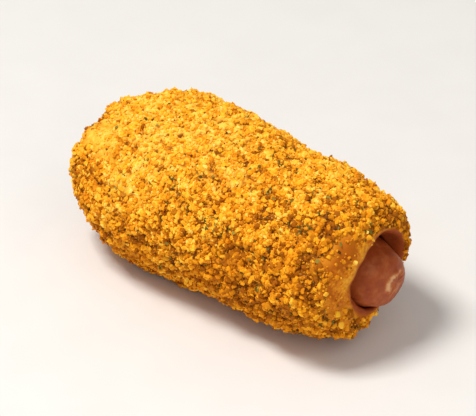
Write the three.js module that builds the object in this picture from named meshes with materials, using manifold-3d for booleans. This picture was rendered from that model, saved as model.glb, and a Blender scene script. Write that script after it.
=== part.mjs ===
// A corn dog without a stick: a sausage in a thick coat of dough, rolled in golden breadcrumbs and fried.
// It lies on its side, and the rounded tips of the sausage look out at both ends.
// Millimetres, +Z up, +X along the sausage. The origin is the bottom centre of the whole.

import * as THREE from "three";
import { mergeVertices } from "three/addons/utils/BufferGeometryUtils.js";
import Module from "manifold-3d";

const wasm = await Module();
wasm.setup();

// The coat, from lip to lip and across its thickest part
const coatLength = 85;
const coatDiameter = 42;
const coatSquash = 0.98; // its height for its width, as it has settled on its side
const coatAxisHeight = 20; // above the surface it rests on, so the underside is pressed flat
const mouthRadius = 9.1; // of the opening that the sausage looks out of
const mouthDepth = 4; // from the lip's crest down to where the dough closes on the sausage
const mouthLift = { near: 2, far: 0.8 }; // the openings stand higher than the sausage

// The sausage, which is a little thinner at its tips
const sausageLength = 91.5;
const sausageDiameter = 22.6;
const tipDiameter = 14.6;
const knotAside = 1.4; // the pinched skin on each tip sits off its middle
const clearance = 0.3; // between the sausage and the coat

// The unevenness of the coat: how high and how wide its swells, its clumps and its crumbs are
const dough = { height: 0.75, width: 11 };
const clumps = { height: 0.6, width: 4.4 };
const crumbs = { height: 1.15, width: 1.6 };

// How finely the surfaces are divided
const coatRings = 70;
const coatSides = 72;
const sausageRings = 26;
const sausageSides = 24;

const halfCoat = coatLength / 2;
const coatRadius = coatDiameter / 2;
const halfSausage = sausageLength / 2;
const degrees = Math.PI / 180;

// The same draw of numbers between 0 and 1 each time, from a seed
function seededDraw(seed) {
  let state = seed;
  return () => {
    state = (state + 0x6d2b79f5) | 0;
    let mixed = Math.imul(state ^ (state >>> 15), 1 | state);
    mixed = (mixed + Math.imul(mixed ^ (mixed >>> 7), 61 | mixed)) ^ mixed;
    return ((mixed ^ (mixed >>> 14)) >>> 0) / 4294967296;
  };
}

// One fixed number between -1 and 1 for each corner of a cubic lattice
function cornerValue(i, j, k) {
  return seededDraw(i * 7919 + j * 104729 + k * 1299709)() * 2 - 1;
}

// A smooth unevenness between about -1 and 1, with lumps about as wide as size
function unevenness(point, size) {
  const scaled = point.clone().divideScalar(size);
  const corner = scaled.clone().floor();
  const share = scaled.sub(corner);
  const ease = (t) => t * t * (3 - 2 * t);
  let sum = 0;
  for (const i of [0, 1]) {
    for (const j of [0, 1]) {
      for (const k of [0, 1]) {
        const weightX = i ? ease(share.x) : 1 - ease(share.x);
        const weightY = j ? ease(share.y) : 1 - ease(share.y);
        const weightZ = k ? ease(share.z) : 1 - ease(share.z);
        sum += weightX * weightY * weightZ * cornerValue(corner.x + i, corner.y + j, corner.z + k);
      }
    }
  }
  return sum;
}

// A closed surface through rings of points, with a pole point before the first ring and after the last
function closedSurface(rings, firstPole, lastPole) {
  const sides = rings[0].length;
  const points = [firstPole, ...rings.flat(), lastPole];
  const last = points.length - 1;
  const triangles = [];
  for (let s = 0; s < sides; s++) {
    const next = (s + 1) % sides;
    triangles.push(0, 1 + next, 1 + s);
    for (let r = 0; r < rings.length - 1; r++) {
      const a = 1 + r * sides + s;
      const b = 1 + r * sides + next;
      // The rings are set off by half a side in turn, so the shorter diagonal alternates.
      if (r % 2) triangles.push(a, b, b + sides, a, b + sides, a + sides);
      else triangles.push(a, b, a + sides, b, b + sides, a + sides);
    }
    triangles.push(last, last - sides + s, last - sides + next);
  }
  return new THREE.BufferGeometry().setFromPoints(points).setIndex(triangles);
}

function solidFrom(geometry) {
  const bare = geometry.clone();
  bare.deleteAttribute("normal");
  bare.deleteAttribute("uv");
  const merged = mergeVertices(bare, 1e-4);
  return new wasm.Manifold(
    new wasm.Mesh({
      numProp: 3,
      vertProperties: merged.attributes.position.array,
      triVerts: new Uint32Array(merged.index.array),
    }),
  );
}

function geometryFrom(solid) {
  const mesh = solid.getMesh();
  return new THREE.BufferGeometry()
    .setAttribute("position", new THREE.BufferAttribute(new Float32Array(mesh.vertProperties), 3))
    .setIndex(new THREE.BufferAttribute(new Uint32Array(mesh.triVerts), 1));
}

// The coat's outline from the far mouth over the body to the near mouth, as distance along and radius.
// It bulges behind the middle, narrows towards the far end and has a full, round near end.
const coatOutline = new THREE.SplineCurve([
  new THREE.Vector2(-halfCoat + mouthDepth, mouthRadius),
  new THREE.Vector2(-halfCoat + 0.6, mouthRadius + 0.4),
  new THREE.Vector2(-halfCoat, mouthRadius + 1.6),
  new THREE.Vector2(-halfCoat + 1.1, mouthRadius + 3.8),
  new THREE.Vector2(-halfCoat + 3.4, 0.74 * coatRadius),
  new THREE.Vector2(-0.8 * halfCoat, 0.85 * coatRadius),
  new THREE.Vector2(-0.58 * halfCoat, coatRadius),
  new THREE.Vector2(-0.2 * halfCoat, 1.01 * coatRadius),
  new THREE.Vector2(0.25 * halfCoat, 0.98 * coatRadius),
  new THREE.Vector2(0.6 * halfCoat, 0.97 * coatRadius),
  new THREE.Vector2(0.8 * halfCoat, 0.92 * coatRadius),
  new THREE.Vector2(halfCoat - 3.2, 0.82 * coatRadius),
  new THREE.Vector2(halfCoat - 1.1, 0.7 * coatRadius),
  new THREE.Vector2(halfCoat, mouthRadius + 2.2),
  new THREE.Vector2(halfCoat - 0.6, mouthRadius + 0.4),
  new THREE.Vector2(halfCoat - mouthDepth, mouthRadius),
]);

// Swells and hollows of the coat. around is 0 on the far side, 90 on top and 180 on the near side.
const swells = [
  { along: -25, around: 75, reach: 13, height: 0.3 },
  { along: -12, around: 35, reach: 12, height: 0.9 },
  { along: 6, around: 30, reach: 9, height: 0.3 },
  { along: -34, around: 125, reach: 7, height: -1.5 },
  { along: -38, around: 100, reach: 9, height: -2.8 },
  { along: -5, around: 150, reach: 12, height: 0.6 },
  { along: 14, around: 85, reach: 8, height: -0.6 },
  { along: 24, around: 115, reach: 9, height: 0.8 },
  { along: 33, around: 180, reach: 7, height: 0.5 },
  { along: 31, around: 240, reach: 11, height: -1.5 },
  { along: 38, around: 310, reach: 10, height: -1.7 },
  { along: 39, around: 280, reach: 9, height: -1.3 },
  { along: 36, around: 42, reach: 7, height: -0.7 },
  { along: 8, around: 210, reach: 9, height: -0.6 },
  { along: -20, around: 330, reach: 10, height: 0.5 },
  { along: 18, around: 345, reach: 9, height: -0.7 },
];

// The line that the sausage follows through the coat: its near tip leans away and down.
function sausageCentre(along) {
  const share = along / halfSausage;
  return new THREE.Vector3(along, 2.2 * share + 0.7 * share * share, -1.8 * share);
}

// Where fewer crumbs have stuck, so that the fried dough is nearly smooth
const bareSpots = [
  { along: 41, around: 140, reach: 6 },
  { along: 42, around: 190, reach: 6 },
  { along: -34, around: 130, reach: 6 },
  { along: -42, around: 10, reach: 7 },
  { along: -42, around: 70, reach: 5 },
];

// How near a place on the coat is to a spot: 1 at its middle, fading over its reach
function nearness(spot, along, angle) {
  const turned = angle - spot.around * degrees;
  const turn = Math.atan2(Math.sin(turned), Math.cos(turned));
  const away = Math.hypot(along - spot.along, turn * coatRadius) / spot.reach;
  return Math.exp(-away * away);
}

function swellAt(along, angle) {
  return swells.reduce((height, swell) => height + swell.height * nearness(swell, along, angle), 0);
}

// How rough the coat is with crumbs: not at all inside the mouths, and a little on the bare spots
function roughnessAt(along, radius, angle) {
  const outsideMouth = THREE.MathUtils.smoothstep(radius, mouthRadius + 0.6, mouthRadius + 3);
  return bareSpots.reduce((rough, spot) => rough * (1 - 0.75 * nearness(spot, along, angle)), outsideMouth);
}

// A point of the coat's skin: outline is 0 at the far mouth and 1 at the near one
function coatPoint(outline, angle) {
  const at = coatOutline.getPointAt(outline);
  const along = at.x;
  const out = new THREE.Vector3(0, Math.cos(angle), Math.sin(angle) * coatSquash);
  const smooth = out.clone().multiplyScalar(at.y).setX(along);
  const rough = roughnessAt(along, at.y, angle);
  const outsideMouth = THREE.MathUtils.smoothstep(at.y, mouthRadius + 0.4, mouthRadius + 3);
  const swollen = outsideMouth * (swellAt(along, angle) + dough.height * unevenness(smooth, dough.width));
  const clumped = rough * clumps.height * unevenness(smooth, clumps.width);
  const crumbed = rough * crumbs.height * unevenness(smooth, crumbs.width);
  const nearEnd = THREE.MathUtils.smoothstep(along, 0.35 * halfCoat, halfCoat);
  const farEnd = THREE.MathUtils.smoothstep(-along, 0.35 * halfCoat, halfCoat);
  // The near mouth is cut askew: its top and near side reach out, and its far underside stays back.
  // At the far mouth the top falls back.
  const askew = Math.cos(angle - 150 * degrees);
  const lean = nearEnd * askew * (askew > 0 ? 2 : 4) + farEnd * 2 * Math.sin(angle);
  const middle = sausageCentre(along);
  const shift = Math.max(nearEnd, farEnd) * (1 - THREE.MathUtils.smoothstep(at.y, mouthRadius, coatRadius));
  const lift = along > 0 ? mouthLift.near : mouthLift.far;
  const point = out.multiplyScalar(at.y + swollen + clumped + crumbed);
  const crumbAlong = 0.3 * rough * crumbs.height * unevenness(smooth.clone().addScalar(40), crumbs.width);
  point.x = along + lean * (at.y / coatRadius) + crumbAlong;
  point.y += shift * middle.y;
  point.z += coatAxisHeight + shift * (middle.z + lift);
  return point;
}

function coatSkin() {
  const rings = [];
  for (let r = 0; r <= coatRings; r++) {
    const ring = [];
    for (let s = 0; s < coatSides; s++) {
      ring.push(coatPoint(r / coatRings, ((s + 0.5 * (r % 2)) / coatSides) * 2 * Math.PI));
    }
    rings.push(ring);
  }
  const pole = (ring) => ring.reduce((sum, p) => sum.add(p), new THREE.Vector3()).divideScalar(ring.length);
  return closedSurface(rings, pole(rings[0]), pole(rings[coatRings]));
}

// The sausage's outline: a slightly barrelled body, domed tips, and a pinched knot of skin on each
function sausageOutline(grow) {
  const body = sausageDiameter / 2 + grow;
  const tip = tipDiameter / 2 + grow;
  const end = halfSausage + grow;
  const half = [
    new THREE.Vector2(0, body),
    new THREE.Vector2(0.45 * end, 0.985 * body),
    new THREE.Vector2(0.78 * end, 0.5 * (body + tip)),
    new THREE.Vector2(end - 4.2, tip),
    new THREE.Vector2(end - 2.3, 0.96 * tip),
    new THREE.Vector2(end - 1.2, 0.82 * tip),
    new THREE.Vector2(end - 0.7, 0.58 * tip),
    new THREE.Vector2(end - 0.9, 0.37 * tip),
    new THREE.Vector2(end - 0.2, 0.25 * tip),
    new THREE.Vector2(end, 0.1 * tip),
  ];
  const mirrored = half.slice(1).reverse().map((p) => new THREE.Vector2(-p.x, p.y));
  return new THREE.SplineCurve([...mirrored, ...half]);
}

function sausageSkin(grow) {
  const outline = sausageOutline(grow);
  const rings = [];
  for (let r = 0; r <= sausageRings; r++) {
    // The rings stand closer together towards the tips.
    const share = 0.5 - 0.5 * Math.cos((r / sausageRings) * Math.PI);
    const at = outline.getPointAt(0.35 * (r / sausageRings) + 0.65 * share);
    const centre = sausageCentre(at.x);
    const onTip = THREE.MathUtils.smoothstep(Math.abs(at.x), halfSausage - 3, halfSausage - 1);
    centre.y += onTip * knotAside * (1 - at.y / (tipDiameter / 2 + grow));
    const ring = [];
    for (let s = 0; s < sausageSides; s++) {
      const angle = (s / sausageSides) * 2 * Math.PI;
      const flats = 1 + 0.012 * Math.cos(5 * angle + 0.03 * at.x) + 0.01 * Math.cos(2 * angle + 1);
      const y = centre.y + at.y * flats * Math.cos(angle);
      const z = centre.z + at.y * flats * Math.sin(angle);
      ring.push(new THREE.Vector3(at.x, y, z + coatAxisHeight));
    }
    rings.push(ring);
  }
  const pole = (along) => sausageCentre(along).add(new THREE.Vector3(0, knotAside, coatAxisHeight));
  const end = halfSausage + grow;
  return closedSurface(rings, pole(-end - 0.1), pole(end + 0.1));
}

// The floor side is cut flat, and the sausage's place is cut out with its clearance.
function coat() {
  const floor = new THREE.BoxGeometry(3 * coatLength, 3 * coatDiameter, coatDiameter);
  floor.translate(0, 0, -coatDiameter / 2);
  const cut = solidFrom(coatSkin()).subtract(solidFrom(sausageSkin(clearance))).subtract(solidFrom(floor));
  const bodies = cut.decompose().sort((a, b) => b.volume() - a.volume());
  return geometryFrom(bodies[0]);
}

function piece(name, geometry, colour, roughness) {
  const looks = { color: colour, roughness, metalness: 0, flatShading: true };
  const mesh = new THREE.Mesh(geometry, new THREE.MeshStandardMaterial(looks));
  mesh.name = name;
  return mesh;
}

const cornDog = new THREE.Group();
cornDog.add(piece("sausage", sausageSkin(0), 0xa2573a, 0.42));
cornDog.add(piece("crumbed_coat", coat(), 0xe2a233, 0.92));

// The bottom centre of the whole goes to the origin.
const reach = new THREE.Box3().setFromObject(cornDog);
const middle = reach.getCenter(new THREE.Vector3());
cornDog.position.set(-middle.x, -middle.y, -reach.min.z);

export default cornDog;
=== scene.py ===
# A corn dog without a stick: a sausage in a fried coat of dough, rolled in golden herbed breadcrumbs.
# It lies on its side on a pale table, in soft studio light from high on its near side.

import math

import bpy
import numpy as np
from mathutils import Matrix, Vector
from mathutils.bvhtree import BVHTree


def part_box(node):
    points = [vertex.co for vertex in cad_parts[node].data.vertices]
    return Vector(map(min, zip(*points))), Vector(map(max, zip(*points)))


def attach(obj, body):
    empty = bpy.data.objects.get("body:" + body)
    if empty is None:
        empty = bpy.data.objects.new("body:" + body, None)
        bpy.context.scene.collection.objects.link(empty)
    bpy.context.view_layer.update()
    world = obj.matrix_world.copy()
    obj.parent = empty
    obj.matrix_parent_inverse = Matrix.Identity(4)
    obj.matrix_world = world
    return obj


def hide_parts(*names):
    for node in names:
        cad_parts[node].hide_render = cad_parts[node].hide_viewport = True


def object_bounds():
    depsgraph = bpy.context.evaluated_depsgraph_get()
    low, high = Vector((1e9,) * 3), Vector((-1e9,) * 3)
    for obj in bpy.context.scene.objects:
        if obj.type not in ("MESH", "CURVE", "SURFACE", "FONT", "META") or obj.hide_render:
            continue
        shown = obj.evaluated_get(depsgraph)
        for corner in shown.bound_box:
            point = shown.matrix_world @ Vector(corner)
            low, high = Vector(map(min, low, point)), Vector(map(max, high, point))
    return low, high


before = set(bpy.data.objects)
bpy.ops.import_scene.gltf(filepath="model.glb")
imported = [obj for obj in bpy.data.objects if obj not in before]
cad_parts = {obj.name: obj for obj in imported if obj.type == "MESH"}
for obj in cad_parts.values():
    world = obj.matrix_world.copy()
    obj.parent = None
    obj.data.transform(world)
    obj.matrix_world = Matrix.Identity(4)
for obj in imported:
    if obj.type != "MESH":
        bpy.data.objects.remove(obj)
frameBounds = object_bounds()
mm = 0.001


# Handling of pieces

def deselectAll():
    for piece in list(bpy.context.selected_objects):
        piece.select_set(False)


def makeActive(piece):
    deselectAll()
    piece.select_set(True)
    bpy.context.view_layer.objects.active = piece


def mergedCopy(node, name):
    # The CAD node's own form as a new piece, its loose triangles joined
    piece = bpy.data.objects.new(name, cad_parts[node].data.copy())
    bpy.context.scene.collection.objects.link(piece)
    piece.data.name = name
    piece.data.materials.clear()
    makeActive(piece)
    bpy.ops.object.mode_set(mode="EDIT")
    bpy.ops.mesh.select_all(action="SELECT")
    bpy.ops.mesh.remove_doubles(threshold=0.002 * mm)
    bpy.ops.object.mode_set(mode="OBJECT")
    return piece


def applyModifier(piece, kind, **settings):
    makeActive(piece)
    modifier = piece.modifiers.new(kind.title(), kind)
    for key, value in settings.items():
        setattr(modifier, key, value)
    bpy.ops.object.modifier_apply(modifier=modifier.name)


def corners(piece):
    flat = np.empty(len(piece.data.vertices) * 3, np.float32)
    piece.data.vertices.foreach_get("co", flat)
    return flat.reshape(-1, 3).astype(float)


def cornerNormals(piece):
    flat = np.empty(len(piece.data.vertices) * 3, np.float32)
    piece.data.vertices.foreach_get("normal", flat)
    return flat.reshape(-1, 3).astype(float)


def setCorners(piece, points):
    piece.data.vertices.foreach_set("co", points.astype(np.float32).ravel())
    piece.data.update()


def giveAttribute(piece, name, values):
    attribute = piece.data.attributes.new(name, "FLOAT", "POINT")
    attribute.data.foreach_set("value", np.asarray(values, np.float32))


def smoothUnevenness(points, size, seed):
    # Rounded lumps between about -1 and 1, as wide as size
    draw = np.random.default_rng(seed)
    total = np.zeros(len(points))
    waves = 14
    for wave in range(waves):
        direction = draw.normal(size=3)
        direction *= draw.uniform(0.6, 1.4) * math.pi / (size * np.linalg.norm(direction))
        total += np.sin(points @ direction + draw.uniform(0, 2 * math.pi))
    return total / math.sqrt(waves)


# Making of materials

def linear(colour):
    # An sRGB hex value as linear red, green, blue and full alpha
    parts = [int(colour[i:i + 2], 16) / 255 for i in (1, 3, 5)]
    return [p / 12.92 if p <= 0.04045 else ((p + 0.055) / 1.055) ** 2.4 for p in parts] + [1.0]


def addNode(material, kind, values=None, links=None, stops=None, **settings):
    # One shader node with its settings, fixed inputs and links, and on a colour ramp its stops
    node = material.node_tree.nodes.new("ShaderNode" + kind)
    for key, value in settings.items():
        setattr(node, key, value)
    for socket, value in (values or {}).items():
        node.inputs[socket].default_value = value
    for socket, source in (links or {}).items():
        material.node_tree.links.new(source, node.inputs[socket])
    if stops:
        ramp = node.color_ramp.elements
        ramp.remove(ramp[-1])
        ramp[0].position, ramp[0].color = stops[0][0], linear(stops[0][1])
        for position, colour in stops[1:]:
            ramp.new(position).color = linear(colour)
    return node


def newMaterial(name, constants):
    material = bpy.data.materials.new(name)
    material.use_nodes = True
    shader = material.node_tree.nodes["Principled BSDF"]
    for socket, value in constants.items():
        shader.inputs[socket].default_value = value
    return material, shader


# Where crumbs lie on the coat: middle and reach in millimetres, and strength. On the sides that the photo
# shows, the places come from it, some picked one by one and some where the render's colour still differed.
# Several of those were carried onto the solid coat by casting a ray from the photo's camera. On the hidden
# sides they are guessed.

coatMarks = {
    # fewer crumbs have stuck here, so the fried dough shows smooth
    "bare": [
        ((42.0, -9.0, 32.0), 4.4, 0.92), ((42.5, -12.0, 28.0), 4.4, 0.95), ((42.6, -13.0, 23.0), 4.4, 0.92),
        ((42.0, -13.0, 18.0), 3.8, 0.8), ((42.0, -9.0, 13.0), 3.4, 0.7), ((41.5, -3.0, 9.5), 3.4, 0.65),
        ((43.5, -5.0, 30.0), 2.4, 0.9), ((44.0, -8.0, 25.0), 2.8, 0.95), ((43.5, -7.5, 18.5), 2.6, 0.9),
        ((42.5, -4.0, 12.5), 2.4, 0.8), ((43.3, -10.0, 21.0), 3.0, 0.9), ((43.2, -3.0, 33.0), 2.2, 0.7),
        ((38.5, -15.5, 29.5), 3.0, 0.6), ((-35.0, -11.0, 32.5), 5.6, 0.85), ((-38.5, -12.0, 28.0), 3.0, 0.5),
        ((-29.5, -14.5, 32.0), 4.4, 0.6), ((-26.5, -16.2, 32.6), 3.5, 0.5), ((-22.5, -18.2, 30.3), 3.5, 0.65),
        ((-19.0, -19.7, 29.0), 3.0, 0.5), ((-41.5, 13.0, 22.0), 6.0, 0.85), ((-41.5, 6.0, 33.0), 4.0, 0.8),
    ],
    # browner crumbs: patches that fried longer
    "toasted": [
        ((-32.0, -17.5, 26.0), 6.0, 0.22), ((-8.6, 9.5, 39.6), 1.7, 0.75), ((38.5, -11.5, 33.5), 4.0, 0.35),
        ((20.0, -19.0, 25.0), 9.0, 0.12), ((11.0, -19.5, 19.0), 8.0, 0.3), ((2.0, 18.0, 26.0), 7.0, 0.3),
        ((-16.0, -20.0, 12.0), 9.0, 0.25), ((33.0, 8.0, 36.0), 6.0, 0.2), ((-25.0, 16.0, 25.0), 6.0, 0.3),
        ((29.0, -13.0, 34.5), 6.0, 0.15), ((12.0, -17.0, 31.0), 5.0, 0.1), ((24.0, -17.5, 31.0), 6.0, 0.15),
        ((41.0, -11.0, 32.0), 4.5, 0.6), ((38.5, -16.0, 26.0), 5.0, 0.22), ((42.5, 7.0, 33.0), 5.0, 0.55),
        ((41.0, -4.0, 34.5), 4.0, 0.15), ((38.0, 3.0, 37.0), 4.0, 0.15), ((41.0, 13.0, 26.0), 5.0, 0.55),
        ((28.0, -19.0, 12.0), 7.0, 0.25), ((34.0, -16.0, 20.0), 8.0, 0.2), ((12.0, -20.0, 12.0), 8.0, 0.2),
        ((-41.5, 13.0, 22.0), 9.0, 0.4), ((-22.0, 20.0, 22.0), 12.0, 0.25), ((6.0, 21.0, 20.0), 12.0, 0.2),
        ((30.0, 19.0, 20.0), 10.0, 0.2), ((-43.0, 0.0, 12.0), 8.0, 0.3),
    ],
    # herbs that clung together
    "herbed": [
        ((8.3, -18.3, 29.7), 2.2, 0.9), ((12.5, -18.2, 29.5), 1.8, 0.8), ((19.9, -10.9, 37.9), 1.8, 0.9),
        ((32.8, -12.8, 34.3), 2.0, 0.7), ((35.0, 1.1, 38.1), 1.8, 0.9), ((25.4, -19.4, 20.5), 2.2, 0.6),
        ((-4.2, -16.5, 33.7), 2.0, 0.5), ((-15.1, -14.5, 35.0), 2.0, 0.4), ((28.0, -4.0, 39.5), 2.0, 0.6),
    ],
}


def marked(points, kind):
    # 0 away from that kind of mark, up to each mark's strength at its middle
    left = np.ones(len(points))
    for middle, reach, strength in coatMarks[kind]:
        away = np.linalg.norm(points / mm - np.array(middle), axis=1) / reach
        left *= 1 - strength * np.exp(-away ** 3)
    return 1 - left


sausageTree = BVHTree.FromPolygons(
    [v.co.copy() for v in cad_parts["sausage"].data.vertices],
    [list(p.vertices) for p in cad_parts["sausage"].data.polygons],
)


def awayFromSausage(points):
    # Millimetres to the sausage
    return np.array([sausageTree.find_nearest(Vector(p))[3] for p in points]) / mm


def facingOut(points, outward):
    # How far the coat's skin faces away from the sausage: below 0 on the walls of the two mouths
    facing = np.ones(len(points))
    for end in (-1, 1):
        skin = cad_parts["sausage"].data.vertices
        tip = np.array([v.co for v in skin if v.co.x * end > coatSettings["tipFrom"]]).mean(axis=0)
        away = points[:, 1:] - tip[1:] - (0, coatSettings["mouthRise"])
        away /= np.linalg.norm(away, axis=1)[:, None]
        atEnd = points[:, 0] * end > coatSettings["mouthFrom"]
        facing[atEnd] = (away * outward[:, 1:]).sum(axis=1)[atEnd]
    return facing


browningAndShadeSettings = {
    "palest": 0.03,
    "crown": 0.93,  # the share of the coat's height above which it gets neither browning nor painted shade
    "down": 0.54,  # browning and painted shade, added over the coat's full height, from the crown towards the table
    "ahead": 0.22,  # added towards the near end
    "aheadFrom": -8 * mm,
    "aheadOver": 40 * mm,
    "patches": {"width": 8 * mm, "strength": 0.08},
    "marks": 0.7,
}


def browningAndShadeAt(points):
    # 0 where the crumbs are palest, 1 where they are brownest: the near end fried darker, and the flanks are
    # darker towards the table, partly browning and partly painted shade
    height = points[:, 2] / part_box("crumbed_coat")[1].z
    down = np.clip(browningAndShadeSettings["crown"] - height, 0, 1)
    ahead = np.clip((points[:, 0] - browningAndShadeSettings["aheadFrom"]) / browningAndShadeSettings["aheadOver"], 0, 1)
    browningAndShade = browningAndShadeSettings["palest"] + browningAndShadeSettings["down"] * down + browningAndShadeSettings["ahead"] * ahead
    patches = browningAndShadeSettings["patches"]
    browningAndShade += patches["strength"] * smoothUnevenness(points, patches["width"], 5)
    return np.clip(browningAndShade + browningAndShadeSettings["marks"] * marked(points, "toasted"), 0, 1)


# The coat of dough

coatSettings = {
    "voxel": 0.52 * mm,
    "clumps": {"width": 2.9 * mm, "height": 1.45 * mm},
    "crumbs": {"width": 1.2 * mm, "height": 0.95 * mm},
    "blisters": {"width": 1.9 * mm, "height": 0.12 * mm, "from": 0.8},
    "midLevel": 0.42,  # of the relief: what lies above it is pushed in
    "relief": (0.55, 0.6),  # its share under the palest crumbs, and what the brownest add
    "restFrom": 0.2,  # millimetres above the table where the relief starts
    "restSpot": 1.2,  # millimetres over which it then grows
    "lipFrom": 1.2,  # millimetres off the sausage where crumbs begin to stick
    "lipTo": 3.0,
    "wallCover": (0.45, 2.5),  # crumbs on skin that faces along the sausage, and how fast they grow outwards
    "tipFrom": 40 * mm,  # along the sausage from its middle
    "mouthFrom": 35 * mm,
    "mouthRise": 1.4 * mm,  # of the mouths' middles over the sausage's
    "lipWaves": {
        "width": 5 * mm, "height": 0.4 * mm, "reach": 35 * mm, "from": 0.9, "over": 1.2, "wall": 0.9,
    },
    "reliefShown": 1.1,  # how strongly a millimetre of relief tells in where crumbs perch and in the painted shade of the hollows
    "hollowShadeFromBrowning": 0.42,  # how much darker the painted shade in the hollows is where the coat is brownest
    "juiceAndGapShadeReach": 1.1,  # millimetres off the sausage that its juices, and the painted shade of the gap, reach
    "mouthWallShade": (0.15, 3.0),  # painted shade on skin that faces along the sausage, on the mouths' inner walls, and how fast it fades outwards
}


def makeDoughCoat():
    coat = mergedCopy("crumbed_coat", "breadedCoat")
    applyModifier(coat, "SMOOTH", factor=0.5, iterations=2)
    applyModifier(coat, "REMESH", mode="VOXEL", voxel_size=coatSettings["voxel"])
    applyModifier(coat, "SMOOTH", factor=0.5, iterations=4)

    # Crumbs raise the skin only where they have stuck, outside the mouths and off the rest spot
    before = corners(coat)
    outward = cornerNormals(coat)
    gap = awayFromSausage(before)
    lipFrom, lipTo = coatSettings["lipFrom"], coatSettings["lipTo"]
    facing = facingOut(before, outward)
    wall, growth = coatSettings["wallCover"]
    outside = np.clip((gap - lipFrom) / (lipTo - lipFrom), 0, 1) * np.clip(wall + growth * facing, 0, 1)
    outside *= np.clip((before[:, 2] / mm - coatSettings["restFrom"]) / coatSettings["restSpot"], 0, 1)
    rough = outside * (1 - marked(before, "bare"))
    least, added = coatSettings["relief"]
    deep = rough * (least + added * browningAndShadeAt(before))  # the browner crumbs are the coarser ones
    group = coat.vertex_groups.new(name="crumbCover")
    for tenth in range(1, 11):
        members = np.nonzero(np.round(np.clip(deep, 0, 1) * 10) == tenth)[0]
        group.add(members.tolist(), tenth / 10, "REPLACE")
    for name in ("clumps", "crumbs"):
        texture = bpy.data.textures.new(name, "VORONOI")
        texture.noise_scale = coatSettings[name]["width"]
        texture.distance_metric = "DISTANCE"
        applyModifier(
            coat, "DISPLACE", texture=texture, strength=-coatSettings[name]["height"],
            mid_level=coatSettings["midLevel"], vertex_group="crumbCover", texture_coords="LOCAL",
        )
    coat.vertex_groups.clear()
    points = corners(coat)
    raised = ((points - before) * outward).sum(axis=1) / mm
    blisters = coatSettings["blisters"]
    swell = smoothUnevenness(before, blisters["width"], 7) * blisters["height"]
    swell *= np.clip(gap - blisters["from"], 0, 1)
    # the lips aren't quite round
    waves = coatSettings["lipWaves"]
    onLip = np.clip((gap - waves["from"]) / waves["over"], 0, 1) * (np.abs(before[:, 0]) > waves["reach"])
    onLip *= np.clip(waves["wall"] - facing, 0, 1)
    swell += smoothUnevenness(before, waves["width"], 21) * waves["height"] * onLip
    points += outward * (swell * np.clip(before[:, 2] / mm, 0, 1))[:, None]
    points[:, 2] = np.maximum(points[:, 2], 0.0)
    setCorners(coat, points)
    browningAndShade = browningAndShadeAt(points)
    giveAttribute(coat, "crumbed", rough)
    shown = coatSettings["reliefShown"] * raised
    giveAttribute(coat, "raised", np.clip(0.5 + shown, 0, 1))
    # painted shade in the hollows, darker where the coat is browner; the smooth dough has none
    level = 0.5 + (shown - coatSettings["hollowShadeFromBrowning"] * browningAndShade) * np.clip(2 * rough, 0, 1)
    giveAttribute(coat, "level", np.clip(level, 0, 1))
    # the toasted attribute holds browning and, down the flanks, painted shade
    giveAttribute(coat, "toasted", browningAndShade)
    # red-brown by the sausage from its juices and painted shade in the gap, and painted shade on the mouths'
    # inner walls
    wall, fading = coatSettings["mouthWallShade"]
    juiceStainAndShade = np.maximum(np.clip(coatSettings["juiceAndGapShadeReach"] - gap, 0, 1), np.clip(wall - fading * facing, 0, 1))
    giveAttribute(coat, "juiceStainAndShade", juiceStainAndShade)
    giveAttribute(coat, "outside", outside)
    makeActive(coat)
    bpy.ops.object.shade_smooth()
    return coat


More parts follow.
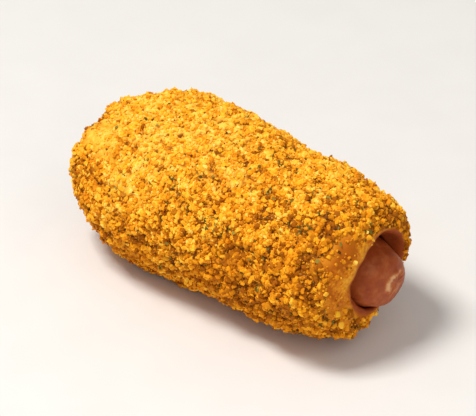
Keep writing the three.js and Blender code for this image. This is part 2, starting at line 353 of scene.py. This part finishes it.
def doughMaterial():
    # Wheat dough, deep fried: a thin brown, slightly oily skin, with painted shade in its cracks and on the
    # mouths' inner walls, and stained by the sausage's juices next to it
    material, shader = newMaterial("deepFriedDough", {
        "Roughness": 0.6, "IOR": 1.45, "Specular IOR Level": 0.1,
        "Subsurface Weight": 0.1, "Subsurface Radius": (1.0, 0.5, 0.15), "Subsurface Scale": 1.2 * mm,
    })
    where = addNode(material, "TexCoord").outputs["Object"]
    # browning, with painted shade down the flanks
    toasted = addNode(material, "Attribute", attribute_name="toasted").outputs["Fac"]
    level = addNode(material, "Attribute", attribute_name="level").outputs["Fac"]
    juiceStainAndShade = addNode(material, "Attribute", attribute_name="juiceStainAndShade").outputs["Fac"]
    patches = addNode(
        material, "TexNoise", {"Scale": 1 / (3.2 * mm), "Detail": 4.0, "Roughness": 0.6}, {"Vector": where}
    )
    blisters = addNode(
        material, "TexNoise", {"Scale": 1 / (0.8 * mm), "Detail": 3.0, "Roughness": 0.7}, {"Vector": where}
    )
    uneven = addNode(
        material, "Math", {1: 0.6}, {0: patches.outputs["Fac"], 2: toasted}, operation="MULTIPLY_ADD"
    )
    fine = addNode(
        material, "Math", {1: 0.3}, {0: blisters.outputs["Fac"], 2: uneven.outputs[0]},
        operation="MULTIPLY_ADD",
    )
    skin = addNode(
        material, "ValToRGB", links={"Fac": fine.outputs[0]},
        stops=[(0.54, "#ffcc50"), (0.72, "#f5b030"), (0.86, "#df8a1a"), (0.94, "#c86c10"), (1.0, "#b45e0c")],
    )
    # painted shade in the hollows: orange first, brown where deepest
    hollowShadeColour = addNode(material, "ValToRGB", links={"Fac": level}, stops=[(0.0, "#804409"), (0.24, "#e6961e")])
    depth = addNode(
        material, "MapRange", {"From Min": 0.12, "From Max": 0.45, "To Min": 1.0, "To Max": 0.0},
        {"Value": level},
    )
    skinWithHollowShade = addNode(
        material, "Mix", data_type="RGBA",
        links={0: depth.outputs["Result"], 6: skin.outputs["Color"], 7: hollowShadeColour.outputs["Color"]},
    )
    # red-brown: painted shade on the mouths' inner walls and in the gap round the sausage, with its juices
    stainAndShadeMix = addNode(
        material, "Mix", {7: linear("#98441a")}, {0: juiceStainAndShade, 6: skinWithHollowShade.outputs[2]}, data_type="RGBA"
    )
    bump = addNode(
        material, "Bump", {"Strength": 0.35, "Distance": 0.25 * mm}, {"Height": blisters.outputs["Fac"]}
    )
    links = material.node_tree.links
    links.new(stainAndShadeMix.outputs[2], shader.inputs["Base Color"])
    links.new(bump.outputs["Normal"], shader.inputs["Normal"])
    return material


# The sausage

sausageSettings = {
    "levels": 2,
    "creases": 9,
    "creaseDepth": 0.12 * mm,
    "creaseReach": 4.4 * mm,
    "buttonRadius": 2.6 * mm,
    "buttonHeight": 0.42 * mm,
    "skinDepth": 0.12 * mm,
    "skinWidth": 5 * mm,
}


def makeSausage():
    sausage = mergedCopy("sausage", "sausageSkin")
    levels = sausageSettings["levels"]
    applyModifier(sausage, "SUBSURF", levels=levels, render_levels=levels)
    points = corners(sausage)
    outward = cornerNormals(sausage)
    lowest, highest = points[:, 0].min(), points[:, 0].max()
    reach = sausageSettings["creaseReach"]
    gatheredAndHighlit = np.zeros(len(points))
    # Casing gathered in folds round the knot on each tip, and a skin that isn't quite even
    for tip in (lowest, highest):
        knot = points[np.abs(points[:, 0] - tip).argmin()]
        offset = points - knot
        far = np.linalg.norm(offset, axis=1)
        turn = np.arctan2(offset[:, 2], offset[:, 1])
        fade = np.exp(-((far / reach - 0.55) / 0.34) ** 2)
        crease = np.cos(turn * sausageSettings["creases"] + 1.6 * np.sin(3 * turn) + 0.8 * np.sin(turn))
        points += outward * (crease * fade * sausageSettings["creaseDepth"])[:, None]
        # the pinched button: a raised rim, strongest on its near side, round a small dimple
        wobble = 1 + 0.14 * np.sin(2 * turn + 0.7) + 0.1 * np.sin(3 * turn)
        radius = sausageSettings["buttonRadius"] * wobble
        rim = np.exp(-((far - radius) / (0.28 * radius)) ** 2) * (0.6 - 0.4 * np.cos(turn + 0.5))
        dimple = np.exp(-(far / (0.45 * radius)) ** 2)
        points += outward * ((rim - 0.7 * dimple) * sausageSettings["buttonHeight"])[:, None]
        # pale round each knot: the gathered casing, partly a painted highlight on its rim
        gatheredAndHighlit = np.maximum(gatheredAndHighlit, np.clip(rim + 0.25 * np.exp(-(far / (0.5 * reach)) ** 2), 0, 1))
    uneven = smoothUnevenness(points, sausageSettings["skinWidth"], 11)
    points += outward * (uneven * sausageSettings["skinDepth"])[:, None]
    setCorners(sausage, points)
    giveAttribute(sausage, "gatheredAndHighlit", gatheredAndHighlit)
    makeActive(sausage)
    bpy.ops.object.shade_smooth()
    return sausage


def sausageMaterial():
    # Smoked pork sausage in a thin collagen casing: moist, half glossy, paler where the casing is gathered
    # round each knot, partly a painted highlight
    material, shader = newMaterial("smokedSausageCasing", {
        "IOR": 1.4, "Specular IOR Level": 0.25,
        "Subsurface Weight": 0.15, "Subsurface Radius": (1.0, 0.3, 0.12), "Subsurface Scale": 1.2 * mm,
    })
    where = addNode(material, "TexCoord").outputs["Object"]
    gatheredAndHighlit = addNode(material, "Attribute", attribute_name="gatheredAndHighlit").outputs["Fac"]
    mottle = addNode(
        material, "TexNoise", {"Scale": 1 / (2.6 * mm), "Detail": 5.0, "Roughness": 0.6}, {"Vector": where}
    )
    grain = addNode(
        material, "TexNoise", {"Scale": 1 / (0.45 * mm), "Detail": 2.0, "Roughness": 0.6}, {"Vector": where}
    )
    mixed = addNode(
        material, "Math", {1: 0.42}, {0: gatheredAndHighlit, 2: mottle.outputs["Fac"]}, operation="MULTIPLY_ADD"
    )
    colour = addNode(
        material, "ValToRGB", links={"Fac": mixed.outputs[0]},
        stops=[(0.3, "#8f3b17"), (0.52, "#a14b20"), (0.7, "#b2602f"), (0.95, "#dba470")],
    )
    gloss = addNode(material, "MapRange", {"To Min": 0.3, "To Max": 0.5}, {"Value": mottle.outputs["Fac"]})
    bump = addNode(
        material, "Bump", {"Strength": 0.2, "Distance": 0.12 * mm}, {"Height": grain.outputs["Fac"]}
    )
    links = material.node_tree.links
    links.new(colour.outputs["Color"], shader.inputs["Base Color"])
    links.new(gloss.outputs["Result"], shader.inputs["Roughness"])
    links.new(bump.outputs["Normal"], shader.inputs["Normal"])
    return material


# Crumbs, herbs and specks, one dictionary for each kind. Sizes are in millimetres across. Perch is how much
# a kind keeps to the raised places, strays is lower for a kind that also lies on the bare dough, and the
# browning range is where it lies, from the palest places to the brownest, where painted shade on the lower
# flanks counts as brown.

crumbKinds = {
    "paleCrumbs": {
        "shape": "grain", "count": 8000, "least": 0.55, "most": 1.6,
        "lift": 0.14, "perch": 0.9, "strays": 1.5, "browningAndShade": (0.0, 0.38),
        "material": "wheatBreadcrumb", "colours": ["#ffd866", "#ffc73e", "#fbb026"],
    },
    "goldenCrumbs": {
        "shape": "grain", "count": 9400, "least": 0.55, "most": 1.7,
        "lift": 0.1, "perch": 0.85, "strays": 1.5, "browningAndShade": (0.0, 1.0),
        "material": "friedBreadcrumb", "colours": ["#ffc634", "#faaf20", "#e69214"],
    },
    "toastedCrumbs": {
        "shape": "grain", "count": 9200, "least": 0.55, "most": 1.8,
        "lift": 0.08, "perch": 0.75, "strays": 1.2, "browningAndShade": (0.24, 1.0),
        "material": "toastedBreadcrumb", "colours": ["#f5a820", "#dc8812", "#a65c0a"],
    },
    "crumbClumps": {
        "shape": "clump", "count": 900, "least": 1.4, "most": 2.5,
        "lift": 0.1, "perch": 0.9, "strays": 1.5, "browningAndShade": (0.25, 1.0),
        "material": "clumpedBreadcrumb", "colours": ["#ffc842", "#faae22", "#dc8a16"],
    },
    "crumbDust": {
        "shape": "chip", "count": 15500, "least": 0.3, "most": 0.75,
        "lift": 0.15, "perch": 0.0, "strays": 0.8, "browningAndShade": (0.0, 1.0),
        "material": "groundBreadcrumb", "colours": ["#ffcc4a", "#f8b42c", "#e0921a"],
    },
    "scorchedSpecks": {
        "shape": "grain", "count": 2000, "least": 0.35, "most": 0.85,
        "lift": 0.25, "perch": 0.0, "strays": 1.0, "browningAndShade": (0.0, 1.0),
        "material": "scorchedBreadcrumb", "colours": ["#aa6612", "#865010", "#5e3810"],
    },
    "herbFlakes": {
        "shape": "flake", "count": 900, "least": 0.55, "most": 1.25,
        "lift": 0.35, "perch": 0.2, "strays": 1.0, "browningAndShade": (0.0, 1.0),
        "material": "driedParsley", "colours": ["#a28c3a", "#80702c", "#5c501e"],
    },
}


def crumbShapes(shape):
    # A few broken bits, one millimetre across, each knocked out of round and squashed its own way
    shapes = []
    for number in range(6):
        deselectAll()
        if shape == "flake":
            bpy.ops.mesh.primitive_circle_add(vertices=7, radius=0.5 * mm, fill_type="NGON")
        elif shape == "chip":
            bpy.ops.mesh.primitive_cube_add(size=0.7 * mm)
        else:
            bpy.ops.mesh.primitive_ico_sphere_add(subdivisions=1, radius=0.5 * mm)
        crumb = bpy.context.object
        bpy.ops.object.mode_set(mode="EDIT")
        if shape == "clump":
            bpy.ops.mesh.select_all(action="SELECT")
            bpy.ops.transform.resize(value=(0.62, 0.56, 0.5))
            for other in range(2):
                turn = 2.1 * other + 1.3 * number
                spot = Vector((math.cos(turn), math.sin(turn), 0.15 * other)) * 0.27 * mm
                wide = (0.26 - 0.03 * other) * mm
                bpy.ops.mesh.primitive_ico_sphere_add(subdivisions=1, radius=wide, location=spot)
        bpy.ops.mesh.select_all(action="SELECT")
        if shape == "flake":
            bpy.ops.mesh.extrude_region_move(TRANSFORM_OT_translate={"value": (0, 0, 0.1 * mm)})
            bpy.ops.mesh.select_all(action="SELECT")
            bpy.ops.transform.vertex_random(offset=0.12 * mm, seed=number)
            bpy.ops.transform.resize(value=(1.0, 0.42 + 0.08 * number, 1.0))
        else:
            offset = {"grain": 0.25, "chip": 0.16, "clump": 0.14}[shape]
            bpy.ops.transform.vertex_random(offset=offset * mm, uniform=0.3, seed=number)
            bpy.ops.transform.resize(value=(1.25 - 0.06 * number, 0.8 + 0.05 * number, 0.64 + 0.05 * number))
        bpy.ops.mesh.quads_convert_to_tris()
        bpy.ops.mesh.normals_make_consistent(inside=False)
        bpy.ops.object.mode_set(mode="OBJECT")
        points = corners(crumb)
        faces = np.array([list(p.vertices) for p in crumb.data.polygons])
        shapes.append((points - points.mean(axis=0), faces))
        bpy.data.objects.remove(crumb)
    return shapes


def sampleSkin(coat, howMany, perch, strays, draw):
    # Places spread over the coat's outside by area, more on the raised ones, with the skin's direction there
    mesh = coat.data
    mesh.calc_loop_triangles()
    triangles = np.empty(len(mesh.loop_triangles) * 3, np.int32)
    mesh.loop_triangles.foreach_get("vertices", triangles)
    triangles = triangles.reshape(-1, 3)
    points = corners(coat)
    a, b, c = (points[triangles[:, i]] for i in range(3))
    across = np.cross(b - a, c - a)
    area = np.linalg.norm(across, axis=1)
    cover, raised, around = (np.empty(len(points), np.float32) for i in range(3))
    mesh.attributes["crumbed"].data.foreach_get("value", cover)
    mesh.attributes["raised"].data.foreach_get("value", raised)
    mesh.attributes["outside"].data.foreach_get("value", around)
    height = raised[triangles].mean(axis=1)
    weight = area * (1 - perch + perch * 2 * height ** 2) * around[triangles].min(axis=1)
    weight *= (0.05 + cover[triangles].min(axis=1)) ** strays
    chosen = draw.choice(len(triangles), howMany, p=weight / weight.sum())
    u, v = draw.random(howMany), draw.random(howMany)
    over = u + v > 1
    u[over], v[over] = 1 - u[over], 1 - v[over]
    at = a[chosen] + (b - a)[chosen] * u[:, None] + (c - a)[chosen] * v[:, None]
    return at, across[chosen] / area[chosen][:, None], height[chosen]


def scatter(coat, kind, seed):
    settings = crumbKinds[kind]
    draw = np.random.default_rng(seed)
    isFlake = settings["shape"] == "flake"
    triesForEach = 28 if isFlake else 6  # most are dropped again below
    tries = settings["count"] * triesForEach
    at, outward, height = sampleSkin(coat, tries, settings["perch"], settings["strays"], draw)
    browningAndShade = browningAndShadeAt(at)
    spread = 0.08
    fits = 1 / (1 + np.exp((settings["browningAndShade"][0] - browningAndShade) / spread))
    fits *= 1 / (1 + np.exp((browningAndShade - settings["browningAndShade"][1]) / spread))
    if isFlake:
        clusters = np.clip(smoothUnevenness(at, 4 * mm, 3) + 0.1, 0.1, 1)
        clusters *= np.clip(0.7 + at[:, 0] / (70 * mm), 0.25, 1.2)  # fewer stuck towards the far end
        fits *= np.maximum(clusters, 8 * marked(at, "herbed"))
    keep = draw.random(len(at)) < fits / fits.max()
    at, outward, browningAndShade, height = (x[keep][:settings["count"]] for x in (at, outward, browningAndShade, height))
    count = len(at)
    size = settings["least"] + (settings["most"] - settings["least"]) * draw.random(count) ** 2.0
    size *= 0.86 + 0.36 * browningAndShade

    # Each lies on the skin, tilted a little, turned any way
    tilt = 0.35 if isFlake else 0.6
    up = outward + draw.normal(scale=tilt, size=(count, 3))
    up /= np.linalg.norm(up, axis=1)[:, None]
    side = np.cross(up, draw.normal(size=(count, 3)))
    side /= np.linalg.norm(side, axis=1)[:, None]
    front = np.cross(up, side)
    at = at + outward * (settings["lift"] * size * mm)[:, None]
    shapes = crumbShapes(settings["shape"])
    points, faces, shades = [], [], []
    first = 0
    # painted shade: crumbs lying lower in the relief are darker, and those on brown places are browner
    shade = 0.7 * draw.random(count) - 0.02 + 0.62 * browningAndShade + 0.9 * np.clip(0.5 - height, 0, 0.5)
    shade += 0.2 * smoothUnevenness(at, 2.4 * mm, 13)
    shade -= 0.4 * marked(at, "bare") * np.clip(1 - 1.6 * browningAndShade, 0, 1)
    if isFlake:
        shade = draw.random(count)
    shade = np.clip(shade, 0, 1)
    for number, (shape, shapeFaces) in enumerate(shapes):
        own = np.arange(number, count, len(shapes))
        turned = (
            shape[None, :, 0:1] * side[own][:, None, :]
            + shape[None, :, 1:2] * front[own][:, None, :]
            + shape[None, :, 2:3] * up[own][:, None, :]
        )
        placed = at[own][:, None, :] + turned * size[own][:, None, None]
        placed[:, :, 2] += np.maximum(0.02 * mm - placed[:, :, 2].min(axis=1), 0)[:, None]
        points.append(placed.reshape(-1, 3))
        starts = first + np.arange(len(own)) * len(shape)
        faces.append((shapeFaces[None, :, :] + starts[:, None, None]).reshape(-1, 3))
        shades.append(np.repeat(shade[own], len(shape)))
        first += len(own) * len(shape)
    mesh = bpy.data.meshes.new(kind)
    mesh.from_pydata(np.concatenate(points), [], np.concatenate(faces))
    piece = bpy.data.objects.new(kind, mesh)
    bpy.context.scene.collection.objects.link(piece)
    giveAttribute(piece, "shade", np.concatenate(shades))
    return piece


def crumbMaterial(kind):
    # Dry bread, ground and fried: matt, porous, each crumb its own brown. Dried leaves are matt and olive
    material, shader = newMaterial(
        crumbKinds[kind]["material"], {"Roughness": 0.75, "IOR": 1.4, "Specular IOR Level": 0.12}
    )
    where = addNode(material, "TexCoord").outputs["Object"]
    shade = addNode(material, "Attribute", attribute_name="shade").outputs["Fac"]
    pores = addNode(
        material, "TexNoise", {"Scale": 1 / (0.5 * mm), "Detail": 3.0, "Roughness": 0.65}, {"Vector": where}
    )
    mixed = addNode(
        material, "Math", {1: 0.45}, {0: pores.outputs["Fac"], 2: shade}, operation="MULTIPLY_ADD"
    )
    pale, middle, brown = crumbKinds[kind]["colours"]
    colour = addNode(
        material, "ValToRGB", links={"Fac": mixed.outputs[0]},
        stops=[(0.2, pale), (0.6, middle), (1.0, brown)],
    )
    bump = addNode(
        material, "Bump", {"Strength": 0.4, "Distance": 0.1 * mm}, {"Height": pores.outputs["Fac"]}
    )
    links = material.node_tree.links
    links.new(colour.outputs["Color"], shader.inputs["Base Color"])
    links.new(bump.outputs["Normal"], shader.inputs["Normal"])
    return material


# Table, light and camera

studio = {
    "floorSize": 3.0,
    "floorColours": ["#e9e5df", "#ece8e2"],
    "keyAt": (-0.16, -0.30, 0.80),
    "keySize": 0.25,
    "keyWatts": 6.2,
    "fillAt": (0.6, -0.3, 0.5),
    "fillSize": 0.8,
    "fillWatts": 1.9,
    "sky": "#ffffff",
    "skyStrength": 0.34,
    "eye": (0.5229, -0.568, 0.5055),
    "lens": 292,
}


def floorMaterial():
    # Glazed white ware, matt enough that it gives no reflections
    material, shader = newMaterial("palePorcelain", {"Roughness": 0.6})
    where = addNode(material, "TexCoord").outputs["Object"]
    grain = addNode(material, "TexNoise", {"Scale": 1 / (20 * mm), "Detail": 2.0}, {"Vector": where})
    first, second = studio["floorColours"]
    colour = addNode(
        material, "ValToRGB", links={"Fac": grain.outputs["Fac"]}, stops=[(0.3, first), (0.7, second)]
    )
    material.node_tree.links.new(colour.outputs["Color"], shader.inputs["Base Color"])
    return material


def makeStudio():
    deselectAll()
    bpy.ops.mesh.primitive_plane_add(size=studio["floorSize"])
    floor = bpy.context.object
    floor.name = "floor"
    floor.data.materials.append(floorMaterial())
    for name in ("key", "fill"):
        bpy.ops.object.light_add(type="AREA", location=studio[name + "At"])
        light = bpy.context.object
        light.name = name + "Light"
        light.data.size = studio[name + "Size"]
        light.data.energy = studio[name + "Watts"]
        light.rotation_euler = (-light.location).to_track_quat("-Z", "Y").to_euler()
    world = bpy.data.worlds.new("softSky")
    bpy.context.scene.world = world
    world.use_nodes = True
    background = world.node_tree.nodes["Background"]
    background.inputs["Color"].default_value = linear(studio["sky"])
    background.inputs["Strength"].default_value = studio["skyStrength"]
    lowest, highest = frameBounds
    aim = (lowest + highest) / 2
    bpy.ops.object.camera_add(location=studio["eye"])
    camera = bpy.context.object
    camera.data.lens = studio["lens"]
    camera.data.sensor_width = 36
    camera.data.clip_end = 20
    camera.rotation_euler = (aim - camera.location).to_track_quat("-Z", "Y").to_euler()
    bpy.context.scene.camera = camera
    bpy.context.scene.view_settings.view_transform = "Standard"


# Putting it together

makeStudio()
print("studio ready")

coat = makeDoughCoat()
coat.data.materials.append(doughMaterial())
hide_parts("crumbed_coat")
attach(coat, "root")
print("coat ready:", len(coat.data.polygons), "faces")

sausage = makeSausage()
sausage.data.materials.append(sausageMaterial())
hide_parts("sausage")
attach(sausage, "root")
print("sausage ready:", len(sausage.data.polygons), "faces")

for seed, kind in enumerate(crumbKinds):
    piece = scatter(coat, kind, 40 + seed)
    piece.data.materials.append(crumbMaterial(kind))
    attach(piece, "root")
    print(kind, "ready:", len(piece.data.polygons), "faces")

deselectAll()
